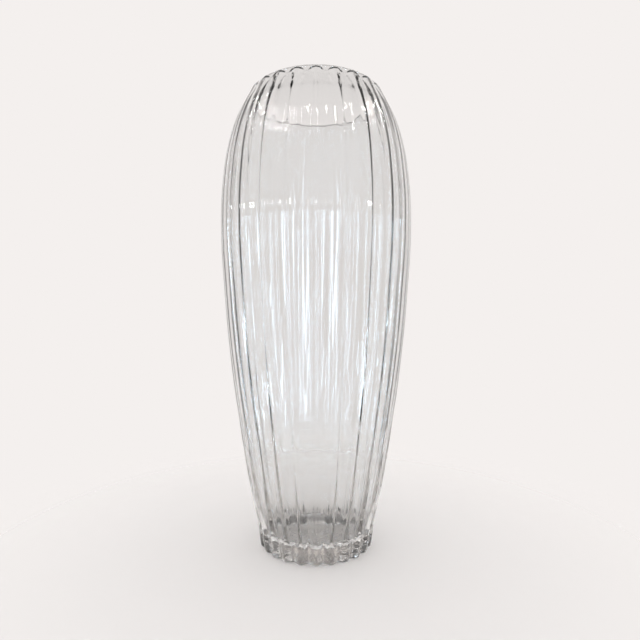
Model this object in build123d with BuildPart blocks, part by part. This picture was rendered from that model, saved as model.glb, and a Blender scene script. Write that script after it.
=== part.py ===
# Tall ribbed vase in clear blown glass: a solid foot, an egg-shaped wall with optic ribs that
# run from heel to mouth, and a fire-polished lip. Z is up, and the vase stands on z = 0.

import os
from math import cos, radians, sin

from build123d import *

# Outline, in millimetres; radii are taken on the crests of the ribs
height = 450
foot_radius = 56.8
flank_inset = 9.4  # in from the belly, as is the shoulder
flank_height = 189
belly_radius = 95.7
belly_drop = 126  # belly below the start of the lip
shoulder_inset = 7.4
shoulder_drop = 46  # shoulder below the start of the lip
rim_radius = 63.6

# Solid foot
base_height = 26
base_flare = 2.8
foot_height = 5
heel_width = 3.5
standing_width = 13
punt_depth = 2.5
floor_height = 15
floor_corner = 13.6

# Lip
lip_height = 8
lip_land = 1.6
neck_inset = 6.9  # from the start of the lip in to the middle of the rim

# Lean of the profiles from upright, in degrees, positive where they lean outward
heel_lean = 60
foot_lean = 12
neck_lean = -31
level_out = 90
level_in = -90

# Glass thickness on the crest of a rib
base_wall = 6
flank_wall = 3.6
belly_wall = 2.8
shoulder_wall = 3
neck_wall = 3.4

# Optic ribs: full depths at the foot, flatter where the glass is blown wider
rib_count = 24
rib_facets = 3
outer_rib_depth = 2.2
inner_rib_depth = 3.4
lip_rib_share = 0.3
floor_rib_share = 0.1
front_angle = -90

# Cross-sections that carry each curve
wall_section_count = 7
foot_section_count = 6
floor_section_count = 5
lip_section_count = 4

base_radius = foot_radius + base_flare
standing_radius = foot_radius - heel_width
floor_radius = base_radius - base_wall - floor_corner
lip_start = height - lip_height
neck_radius = rim_radius + neck_inset
flank_radius = belly_radius - flank_inset
shoulder_radius = belly_radius - shoulder_inset
belly_height = lip_start - belly_drop
shoulder_height = lip_start - shoulder_drop
punt_radius = standing_radius - standing_width
punt_sphere_radius = (punt_radius**2 + punt_depth**2) / (2 * punt_depth)
rib_pitch = 360 / rib_count


# Direction up a profile that leans outward from upright, as radius and height
def leaning(angle):
    return sin(radians(angle)), cos(radians(angle))


# Depth of a rib where the glass has been blown out to a radius
def rib_depth_at(radius, depth_at_foot):
    return depth_at_foot * foot_radius / radius


# A ring of ribs with the middle of one at the front; each rounds off to the creases beside it
def ribbed_section(level, crest_radius, rib_depth):
    corners = []
    for corner in range(rib_count * rib_facets):
        across = 2 * (corner % rib_facets) / rib_facets - 1
        radius = crest_radius - rib_depth * across**2
        angle = front_angle + (corner / rib_facets - 0.5) * rib_pitch
        corners.append(Vector(radius, 0).rotate(Axis.Z, angle))
    with BuildSketch(Plane.XY.offset(level)) as section:
        with BuildLine():
            Polyline(*corners, close=True)
        make_face()
    return section.sketch


# Sections at even steps up a profile; the ribs keep a share of their depth at each end of it
def ribbed_sections(profile, count, depth_at_foot, start_share=1, end_share=1):
    sections = []
    for step in range(count):
        along = step / (count - 1)
        point = profile.line @ along
        share = start_share + (end_share - start_share) * along
        rib_depth = share * rib_depth_at(point.X, depth_at_foot)
        sections.append(ribbed_section(point.Z, point.X, rib_depth))
    return sections


# Profiles of the outside, from the standing ring up to the rim
with BuildLine(Plane.XZ) as foot_profile:
    Spline(
        (standing_radius, 0),
        (foot_radius, foot_height),
        (base_radius, base_height),
        tangents=(leaning(heel_lean), leaning(foot_lean)),
    )

with BuildLine(Plane.XZ) as wall_profile:
    Spline(
        (base_radius, base_height),
        (flank_radius, flank_height),
        (belly_radius, belly_height),
        (shoulder_radius, shoulder_height),
        (neck_radius, lip_start),
        tangents=(leaning(foot_lean), leaning(neck_lean)),
    )

with BuildLine(Plane.XZ) as lip_profile:
    Spline(
        (neck_radius, lip_start),
        (rim_radius + lip_land / 2, height),
        tangents=(leaning(neck_lean), leaning(level_in)),
    )

# Profiles of the inside, from the floor up to the rim
flute_radius = neck_radius - neck_wall
mouth_radius = flute_radius - rib_depth_at(flute_radius, inner_rib_depth)

with BuildLine(Plane.XZ) as floor_profile:
    Spline(
        (floor_radius, floor_height),
        (base_radius - base_wall, base_height),
        tangents=(leaning(level_out), leaning(foot_lean)),
    )

with BuildLine(Plane.XZ) as cavity_profile:
    Spline(
        (base_radius - base_wall, base_height),
        (flank_radius - flank_wall, flank_height),
        (belly_radius - belly_wall, belly_height),
        (shoulder_radius - shoulder_wall, shoulder_height),
        (flute_radius, lip_start),
        tangents=(leaning(foot_lean), leaning(neck_lean)),
    )

with BuildLine(Plane.XZ) as mouth_profile:
    TangentArc(
        (mouth_radius, lip_start),
        (rim_radius - lip_land / 2, height),
        tangent=leaning(neck_lean),
    )

# Thick foot: a ribbed heel under a rounded floor, and a ring to stand on round a slight hollow,
# which is cut by a sphere that lies on its side, with its poles away from the glass
with BuildPart() as thick_base:
    loft(ribbed_sections(foot_profile, foot_section_count, outer_rib_depth), ruled=True)
    loft(
        ribbed_sections(floor_profile, floor_section_count, inner_rib_depth, start_share=floor_rib_share),
        ruled=True,
        mode=Mode.SUBTRACT,
    )
    with Locations((0, 0, punt_depth - punt_sphere_radius)):
        Sphere(punt_sphere_radius, rotation=(90, 0, 0), mode=Mode.SUBTRACT)

# Wall: ribbed outside and more deeply inside, so that it is thickest along the creases
with BuildPart() as ribbed_wall:
    loft(ribbed_sections(wall_profile, wall_section_count, outer_rib_depth))
    loft(ribbed_sections(cavity_profile, wall_section_count, inner_rib_depth), mode=Mode.SUBTRACT)

# Lip: melted round, with a plain bore that closes the top of each inner rib with an arch
with BuildPart() as rim_lip:
    loft(
        ribbed_sections(lip_profile, lip_section_count, outer_rib_depth, end_share=lip_rib_share),
        ruled=True,
    )
    loft(
        ribbed_sections(mouth_profile, lip_section_count, inner_rib_depth, start_share=0, end_share=0),
        ruled=True,
        mode=Mode.SUBTRACT,
    )

thick_base.part.label = "thick_base"
ribbed_wall.part.label = "ribbed_wall"
rim_lip.part.label = "rim_lip"

os.makedirs("parts", exist_ok=True)
export_step(thick_base.part, "parts/thick_base.step")
export_step(ribbed_wall.part, "parts/ribbed_wall.step")
export_step(rim_lip.part, "parts/rim_lip.step")
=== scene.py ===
from math import acos, atan2, cos, hypot, pi, radians, sin

import bpy
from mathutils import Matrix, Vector


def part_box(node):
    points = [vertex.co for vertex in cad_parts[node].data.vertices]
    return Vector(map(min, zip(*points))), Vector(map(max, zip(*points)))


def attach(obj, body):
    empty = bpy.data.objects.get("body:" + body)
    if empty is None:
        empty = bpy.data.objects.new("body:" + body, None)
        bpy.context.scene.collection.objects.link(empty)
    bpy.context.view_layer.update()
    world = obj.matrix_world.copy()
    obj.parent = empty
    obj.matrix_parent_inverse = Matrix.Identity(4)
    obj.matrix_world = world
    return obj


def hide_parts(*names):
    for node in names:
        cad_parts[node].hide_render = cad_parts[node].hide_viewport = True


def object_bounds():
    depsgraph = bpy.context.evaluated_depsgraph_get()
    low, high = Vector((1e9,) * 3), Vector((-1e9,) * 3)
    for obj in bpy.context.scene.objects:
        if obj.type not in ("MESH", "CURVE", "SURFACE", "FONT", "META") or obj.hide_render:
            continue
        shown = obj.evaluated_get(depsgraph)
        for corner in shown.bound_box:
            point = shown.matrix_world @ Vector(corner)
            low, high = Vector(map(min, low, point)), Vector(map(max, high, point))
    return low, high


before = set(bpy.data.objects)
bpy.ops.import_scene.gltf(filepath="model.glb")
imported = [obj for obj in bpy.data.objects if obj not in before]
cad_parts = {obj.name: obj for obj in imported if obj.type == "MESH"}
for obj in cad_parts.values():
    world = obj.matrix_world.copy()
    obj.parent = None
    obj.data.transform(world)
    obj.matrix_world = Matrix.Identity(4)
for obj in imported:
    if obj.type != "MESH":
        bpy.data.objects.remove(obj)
cadLow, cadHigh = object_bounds()
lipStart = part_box("rim_lip")[0].z
print("frame loaded:", ", ".join(sorted(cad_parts)))

scene = bpy.context.scene
scene.view_settings.view_transform = "Standard"

# bounces of light in the glass; with few reflections, the lines along the ribs come out dark
bounces = {"all": 16, "reflected": 5, "refracted": 16}
scene.cycles.max_bounces = bounces["all"]
scene.cycles.glossy_bounces = bounces["reflected"]
scene.cycles.transmission_bounces = bounces["refracted"]


def ease(low, high, value):  # 0 at low, 1 at high, smooth at both ends
    share = min(max((value - low) / (high - low), 0), 1)
    return share * share * (3 - 2 * share)


def blend(low, high, share):
    return low + (high - low) * share


def addNode(tree, kind, **settings):
    node = tree.nodes.new(kind)
    for name, value in settings.items():
        setattr(node, name, value)
    return node


# clear blown glass, one skin from the hollow underfoot over the lip and down to the inside floor;
# its knots are radius and height, in metres
vaseGlass = {
    "underfoot": [(0, 0.0027), (0.014, 0.0025), (0.028, 0.0019), (0.039, 0.001), (0.0455, 0.0004)],
    "standingRing": [(0.0505, 0.00001)],  # rounded, so that only a line of it touches the floor
    "outside": [
        (0.0541, 0.0005), (0.0559, 0.002), (0.0567, 0.0055), (0.0576, 0.013), (0.0594, 0.026),
        (0.0672, 0.063), (0.0768, 0.1215), (0.086, 0.189), (0.0921, 0.2565), (0.0952, 0.316),
        (0.0934, 0.36), (0.088, 0.396), (0.0798, 0.423), (0.0712, 0.441),
    ],
    "lip": [
        (0.0684, 0.4463), (0.0656, 0.4495), (0.0638, 0.4496), (0.0625, 0.4483), (0.0629, 0.4452),
    ],
    "inside": [
        (0.0645, 0.442), (0.0666, 0.4385), (0.0706, 0.4315), (0.0752, 0.423), (0.0843, 0.396),
        (0.0898, 0.36), (0.0918, 0.316), (0.0883, 0.2565), (0.0817, 0.189), (0.0708, 0.1215),
        (0.0594, 0.063), (0.0508, 0.029),
    ],
    "floor": [(0.048, 0.0205), (0.042, 0.0162), (0.034, 0.0151), (0.018, 0.015), (0, 0.015)],
    "rowsPerSpan": 5,
    "weldGap": 1e-5,
    "underTop": 0.005,  # the underside is below this, and faces down by this much or more
    "underFacing": 0.7,
    "insideBottom": 0.01,  # the inside is above this, and its floor faces up by more than this
    "floorFacing": 0.5,
    "ribs": 24,
    "columnsPerRib": 18,
    "ribRadius": 0.0568,  # up to here the ribs have their full depth, and farther out they flatten
    "outerDepth": 0.0022,
    "ringFade": (0.0465, 0.0565),  # ribs run out across the standing ring
    "lipRibShare": 0.3,
    "lipFacing": 0.5,  # the lip has its ribs in full where it faces outward by this much
    "notchDepth": 0.0018,  # each crease opens into a cut wedge at the heel
    "notchHeight": 0.0105,
    "rippleDepth": 0.00024,  # fine waves round the wall, which draw the gleams out into streaks
    "ripples": (72, 96),
    "rippleFoot": (0.03, 0.09),
    "fluteDepth": (0.00105, 0.0027),  # down the wall, and under the lip
    "fluteFlare": (0.43, 0.4455),  # narrow below, and as broad as a rib above
    "fluteSharpness": (12, 0.6),
    "fluteTop": 0.4482,  # top of the arch that ends each inner flute
    "fluteArch": 0.0065,
    "fluteFade": 0.0028,
    "fluteFoot": (0.016, 0.03),
    "petalDepth": 0.003,  # ribs of the mould's bottom, on the inside floor and underfoot
    "petalReach": (0.004, 0.026),
    "petalRim": (0.044, 0.052),
    "petalRimShare": 0.5,
    "castShare": 0.1,  # share of its way to a thin core that a point is drawn by at full weight
    "castCore": 0.001,
    "castLeast": 0.001,
    "lumpDepth": 0.0007,  # unevenness cast into the foot
    "lumpSize": 0.009,
    "lumpStart": 0.0004,
    "lumpTop": (0.012, 0.05),
    "heelLumps": 0.2,
}


def drawProfile(cut):
    knots = cut["underfoot"] + cut["standingRing"] + cut["outside"]
    knots += cut["lip"] + cut["inside"] + cut["floor"]
    bpy.ops.object.select_all(action="DESELECT")
    bpy.ops.curve.primitive_bezier_curve_add()
    profile = bpy.context.object
    points = profile.data.splines[0].bezier_points
    points.add(len(knots) - len(points))
    for point, (radius, height) in zip(points, knots):
        point.co = (radius, 0, height)
        point.handle_left_type = "AUTO"
        point.handle_right_type = "AUTO"
    profile.data.resolution_u = cut["rowsPerSpan"]
    bpy.ops.object.convert(target="MESH")
    return bpy.context.object


def sortSkin(cut, vase):  # where each point lies on the skin, and how far from the middle of a rib
    skin = []
    for vertex in vase.data.vertices:
        place = vertex.co
        normal = vertex.normal
        radius = hypot(place.x, place.y)
        facing = 0
        if radius > 0:
            facing = (normal.x * place.x + normal.y * place.y) / radius
        turn = atan2(place.y, place.x)
        wave = cos(turn * cut["ribs"])
        onFloor = normal.z > cut["floorFacing"] and place.z < lipStart
        skin.append({
            "radius": radius,
            "height": place.z,
            "facing": facing,
            "turn": turn,
            "crease": (1 - wave) / 2,  # 0 on the middle of a rib, 1 in the crease
            "across": acos(max(min(wave, 1), -1)) / pi,  # the same, but rising evenly
            "under": normal.z < -cut["underFacing"] and place.z < cut["underTop"],
            "inside": place.z > cut["insideBottom"] and (facing < 0 or onFloor),
        })
    return skin


def creasePress(cut, point):  # outside, pressed in along the creases
    if point["inside"]:
        return 0
    spread = (cut["ribRadius"] / max(point["radius"], cut["ribRadius"])) ** 2
    lipFade = blend(1, cut["lipRibShare"], ease(lipStart, cadHigh.z, point["height"]))
    crest = 1
    if point["height"] > lipStart:
        crest = ease(0, cut["lipFacing"], point["facing"])
    crease = cut["outerDepth"] * point["crease"] * spread * lipFade * crest
    notch = cut["notchDepth"] * max(point["across"] - point["height"] / cut["notchHeight"], 0)
    waves = [(1 + cos(point["turn"] * count + count)) / 2 for count in cut["ripples"]]
    ripple = cut["rippleDepth"] * sum(waves) / len(waves) * crest
    ripple *= ease(*cut["rippleFoot"], point["height"])
    return (crease + notch + ripple) * ease(*cut["ringFade"], point["radius"])


def flutePress(cut, point):  # inside, pressed out into the glass between the ridges
    if not point["inside"]:
        return 0
    flare = ease(*cut["fluteFlare"], point["height"])
    sharpness = blend(*cut["fluteSharpness"], flare)
    flute = blend(*cut["fluteDepth"], flare) * (1 - point["crease"]) ** sharpness
    top = cut["fluteTop"] - cut["fluteArch"] * point["across"] ** 2
    topFade = ease(0, cut["fluteFade"], top - point["height"])
    return flute * topFade * ease(*cut["fluteFoot"], point["height"])


def petalShare(cut, point):  # underfoot, raised along the creases
    if not point["under"]:
        return 0
    rimFade = blend(1, cut["petalRimShare"], ease(*cut["petalRim"], point["radius"]))
    return point["across"] * ease(*cut["petalReach"], point["radius"]) * rimFade


def floorShare(cut, point):  # inside floor, sunk along the ribs
    if not point["inside"]:
        return 0
    wallFade = 1 - ease(*cut["fluteFoot"], point["height"])
    return (1 - point["across"]) * ease(*cut["petalReach"], point["radius"]) * wallFade


def lumpShare(cut, point):  # most underfoot, few on the heel and none in the wall
    if point["under"]:
        return ease(0, cut["lumpStart"], point["height"])
    if point["inside"]:
        return 0
    return cut["heelLumps"] * (1 - ease(*cut["lumpTop"], point["height"]))


def mould(vase, name, kind, shares, **settings):
    group = vase.vertex_groups.new(name=name)
    for index, share in enumerate(shares):
        group.add([index], share, "REPLACE")
    press = vase.modifiers.new(name, kind)
    press.vertex_group = group.name
    for setting, value in settings.items():
        setattr(press, setting, value)
    bpy.ops.object.modifier_apply(modifier=press.name)


def blowGlass(cut):
    vase = drawProfile(cut)
    vase.name = vase.data.name = "vaseGlass"
    bpy.ops.object.mode_set(mode="EDIT")
    bpy.ops.mesh.select_all(action="SELECT")
    bpy.ops.mesh.spin(
        steps=cut["ribs"] * cut["columnsPerRib"], angle=2 * pi, center=(0, 0, 0), axis=(0, 0, 1)
    )
    bpy.ops.mesh.select_all(action="SELECT")
    bpy.ops.mesh.remove_doubles(threshold=cut["weldGap"])
    bpy.ops.mesh.normals_make_consistent(inside=False)
    bpy.ops.object.mode_set(mode="OBJECT")
    skin = sortSkin(cut, vase)

    # ribs and flutes, as shares of the way that each point can be drawn in or out
    pull = cut["castShare"]
    ways = [pull * max(point["radius"] - cut["castCore"], cut["castLeast"]) for point in skin]
    creases = [creasePress(cut, point) / way for point, way in zip(skin, ways)]
    flutes = [flutePress(cut, point) / way for point, way in zip(skin, ways)]
    cast = {
        "cast_type": "CYLINDER", "use_z": False, "size": cut["castCore"], "use_radius_as_size": False,
    }
    mould(vase, "ribs", "CAST", creases, factor=pull, **cast)
    mould(vase, "flutes", "CAST", flutes, factor=-pull, **cast)

    # bottom of the mould
    deep = cut["petalDepth"]
    petals = [petalShare(cut, point) for point in skin]
    floor = [floorShare(cut, point) for point in skin]
    mould(vase, "petals", "DISPLACE", petals, direction="Z", mid_level=0, strength=deep)
    mould(vase, "floorPetals", "DISPLACE", floor, direction="Z", mid_level=0, strength=-deep)

    clouds = bpy.data.textures.new("lumps", "CLOUDS")
    clouds.noise_scale = cut["lumpSize"]
    lumps = [lumpShare(cut, point) for point in skin]
    mould(vase, "lumps", "DISPLACE", lumps, texture=clouds, mid_level=1, strength=cut["lumpDepth"])
    vase.vertex_groups.clear()
    bpy.ops.object.shade_smooth()
    return vase


vase = blowGlass(vaseGlass)
print("glass blown:", len(vase.data.polygons), "faces")

clearGlass = {
    "tint": (0.891, 0.891, 0.889, 1),
    "roughness": 0,
    "ior": 1.52,
    "shadow": (0.94, 0.94, 0.94, 1),
    "depthTint": (0.62, 0.58, 0.54, 1),  # with the density, what thick glass takes out of the light
    "depthDensity": 11,
}


def meltGlass(look):
    glass = bpy.data.materials.new("clearGlass")
    glass.use_nodes = True
    tree = glass.node_tree
    shader = tree.nodes["Principled BSDF"]
    shader.inputs["Base Color"].default_value = look["tint"]
    shader.inputs["Roughness"].default_value = look["roughness"]
    shader.inputs["IOR"].default_value = look["ior"]
    shader.inputs["Transmission Weight"].default_value = 1
    path = addNode(tree, "ShaderNodeLightPath")
    through = addNode(tree, "ShaderNodeBsdfTransparent")  # light gets through, so the shadow is pale
    through.inputs["Color"].default_value = look["shadow"]
    depth = addNode(tree, "ShaderNodeVolumeAbsorption")
    depth.inputs["Color"].default_value = look["depthTint"]
    depth.inputs["Density"].default_value = look["depthDensity"]
    mix = addNode(tree, "ShaderNodeMixShader")
    output = tree.nodes["Material Output"]
    tree.links.new(path.outputs["Is Shadow Ray"], mix.inputs["Fac"])
    tree.links.new(shader.outputs["BSDF"], mix.inputs[1])
    tree.links.new(through.outputs["BSDF"], mix.inputs[2])
    tree.links.new(mix.outputs["Shader"], output.inputs["Surface"])
    tree.links.new(depth.outputs["Volume"], output.inputs["Volume"])
    return glass


vase.data.materials.append(meltGlass(clearGlass))
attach(vase, "root")
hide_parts("thick_base", "ribbed_wall", "rim_lip")
print("glass melted")

# pale floor, which fades into the pale backdrop of the world
studio = {
    "floorSize": 3,
    "floorCorners": 64,
    "floorColour": (0.9, 0.866, 0.85, 1),
    "floorFade": (0.16, 0.42),
    "paleWall": (0.905, 0.871, 0.855, 1),
    "fillColour": (1, 1, 1, 1),
    "fillStrength": 1,
    "tones": {  # greys round the pale wall, each faded in along one axis of the direction looked in
        "behind": {"axis": "Y", "from": (-0.1, -0.5), "grey": (0.7, 0.685, 0.68, 1)},
        "left": {"axis": "X", "from": (-0.74, -0.92), "grey": (0.7, 0.685, 0.68, 1)},
        "right": {"axis": "X", "from": (0.74, 0.92), "grey": (0.7, 0.685, 0.68, 1)},
        "above": {"axis": "Z", "from": (0.6, 0.8), "grey": (0.15, 0.15, 0.15, 1)},
    },
}


def addFade(tree, ends, value):  # 0 at the first end, 1 at the second
    fade = addNode(tree, "ShaderNodeMapRange", interpolation_type="SMOOTHSTEP")
    fade.inputs["From Min"].default_value, fade.inputs["From Max"].default_value = ends
    tree.links.new(value, fade.inputs["Value"])
    return fade.outputs["Result"]


def layFloor(look):
    bpy.ops.object.select_all(action="DESELECT")
    bpy.ops.mesh.primitive_circle_add(
        vertices=look["floorCorners"], radius=look["floorSize"] / 2, fill_type="NGON"
    )
    floor = bpy.context.object
    floor.name = floor.data.name = "paleFloor"
    pale = bpy.data.materials.new("paleFloor")
    pale.use_nodes = True
    tree = pale.node_tree
    shader = addNode(tree, "ShaderNodeBsdfDiffuse")
    shader.inputs["Color"].default_value = look["floorColour"]
    place = addNode(tree, "ShaderNodeTexCoord")
    reach = addNode(tree, "ShaderNodeVectorMath", operation="LENGTH")
    clear = addNode(tree, "ShaderNodeBsdfTransparent")
    mix = addNode(tree, "ShaderNodeMixShader")
    tree.links.new(place.outputs["Object"], reach.inputs[0])
    tree.links.new(addFade(tree, look["floorFade"], reach.outputs["Value"]), mix.inputs["Fac"])
    tree.links.new(shader.outputs["BSDF"], mix.inputs[1])
    tree.links.new(clear.outputs["BSDF"], mix.inputs[2])
    tree.links.new(mix.outputs["Shader"], tree.nodes["Material Output"].inputs["Surface"])
    floor.data.materials.append(pale)


def layTones(tree, look):  # the greys laid one after another over the pale wall
    place = addNode(tree, "ShaderNodeTexCoord")
    split = addNode(tree, "ShaderNodeSeparateXYZ")
    tree.links.new(place.outputs["Generated"], split.inputs["Vector"])
    toneSoFar = None
    for part in look["tones"].values():
        tone = addNode(tree, "ShaderNodeMix", data_type="RGBA")
        below, above = [socket for socket in tone.inputs if socket.type == "RGBA"]
        below.default_value = look["paleWall"]
        if toneSoFar:
            tree.links.new(toneSoFar, below)
        above.default_value = part["grey"]
        tree.links.new(addFade(tree, part["from"], split.outputs[part["axis"]]), tone.inputs["Factor"])
        toneSoFar = [socket for socket in tone.outputs if socket.type == "RGBA"][0]
    return toneSoFar


def hangBackdrop(look):
    world = bpy.data.worlds.new("paleBackdrop")
    scene.world = world
    world.use_nodes = True
    tree = world.node_tree
    fill = tree.nodes["Background"]
    fill.inputs["Color"].default_value = look["fillColour"]
    fill.inputs["Strength"].default_value = look["fillStrength"]
    backdrop = addNode(tree, "ShaderNodeBackground")
    tree.links.new(layTones(tree, look), backdrop.inputs["Color"])
    path = addNode(tree, "ShaderNodeLightPath")
    shown = path.outputs["Is Camera Ray"]
    for ray in ("Is Glossy Ray", "Is Transmission Ray"):
        either = addNode(tree, "ShaderNodeMath", operation="MAXIMUM")
        tree.links.new(shown, either.inputs[0])
        tree.links.new(path.outputs[ray], either.inputs[1])
        shown = either.outputs["Value"]
    mix = addNode(tree, "ShaderNodeMixShader")
    tree.links.new(shown, mix.inputs["Fac"])
    tree.links.new(fill.outputs["Background"], mix.inputs[1])
    tree.links.new(backdrop.outputs["Background"], mix.inputs[2])
    tree.links.new(mix.outputs["Shader"], tree.nodes["World Output"].inputs["Surface"])


layFloor(studio)
hangBackdrop(studio)
print("floor and backdrop in place")

# lamps in rows round the vase, by their bearing in degrees from the camera's side; each strays a
# little from its even step, and the deep ones also gleam from within the glass
lamps = {
    "strips": {
        "count": 25, "first": -108, "step": 9, "stray": 3, "distance": 1.5, "height": -0.055,
        "size": (0.018, 1.43), "power": 1.5, "colour": (0.66, 0.85, 1), "deep": True,
    },
    "windows": {
        "count": 1, "first": -24, "step": 0, "stray": 0, "distance": 1.6, "height": -0.1,
        "size": (0.5, 1.2), "power": 1.4, "colour": (0.62, 0.82, 1), "deep": True,
    },
    "sparks": {
        "count": 13, "first": -102, "step": 17, "stray": 4, "distance": 1.45, "height": 0.68,
        "size": (0.02, 0.035), "power": 0.07, "colour": (1, 1, 1), "deep": True,
    },
    "spots": {
        "count": 15, "first": -105, "step": 15, "stray": 4, "distance": 1, "height": 1.36,
        "size": (0.009, 0.36), "power": 0.65, "colour": (1, 0.98, 0.95), "deep": False,
    },
}
lampAim = Vector((0, 0, 0.2))
strayPace = 3  # radians from one lamp to the next, in the wave that they stray by


def showAsGleam(light):  # bright once a ray has been reflected, dark straight through the glass
    light.use_nodes = True
    tree = light.node_tree
    path = addNode(tree, "ShaderNodeLightPath")
    gleam = addNode(tree, "ShaderNodeMath", operation="MINIMUM")
    gleam.inputs[1].default_value = 1
    tree.links.new(path.outputs["Glossy Depth"], gleam.inputs[0])
    tree.links.new(gleam.outputs["Value"], tree.nodes["Emission"].inputs["Strength"])


def hangLamps(name, row):
    for lamp in range(row["count"]):
        turn = radians(row["first"] + row["step"] * lamp + row["stray"] * sin(strayPace * lamp))
        place = Vector((row["distance"] * sin(turn), -row["distance"] * cos(turn), row["height"]))
        bpy.ops.object.light_add(type="AREA", location=place)
        light = bpy.context.object
        light.name = light.data.name = name
        light.data.shape = "RECTANGLE"
        light.data.size, light.data.size_y = row["size"]
        light.data.energy = row["power"]
        light.data.color = row["colour"]
        light.rotation_euler = (lampAim - place).to_track_quat("-Z", "Y").to_euler()
        light.visible_camera = False
        light.visible_diffuse = False
        light.visible_transmission = row["deep"]
        showAsGleam(light.data)


for name, row in lamps.items():
    hangLamps(name, row)
print("studio lit")

# level camera close to the vase, as in the photograph; rows and columns are of its 640 by 640 frame
photoView = {
    "imageSize": 640,
    "focalLength": 480,  # in pixels
    "axisColumn": 316,
    "horizonRow": 328,
    "distance": 0.489,
    "height": 0.2167,
    "sensor": 36,
}


def placeCamera(view):
    place = (0, -view["distance"], view["height"])
    bpy.ops.object.camera_add(location=place, rotation=(radians(90), 0, 0))
    camera = bpy.context.object
    camera.data.sensor_width = view["sensor"]
    camera.data.lens = view["sensor"] * view["focalLength"] / view["imageSize"]
    middle = view["imageSize"] / 2
    camera.data.shift_x = (middle - view["axisColumn"]) / view["imageSize"]
    camera.data.shift_y = (view["horizonRow"] - middle) / view["imageSize"]
    scene.camera = camera


placeCamera(photoView)
print("camera placed")

bpy.context.view_layer.update()
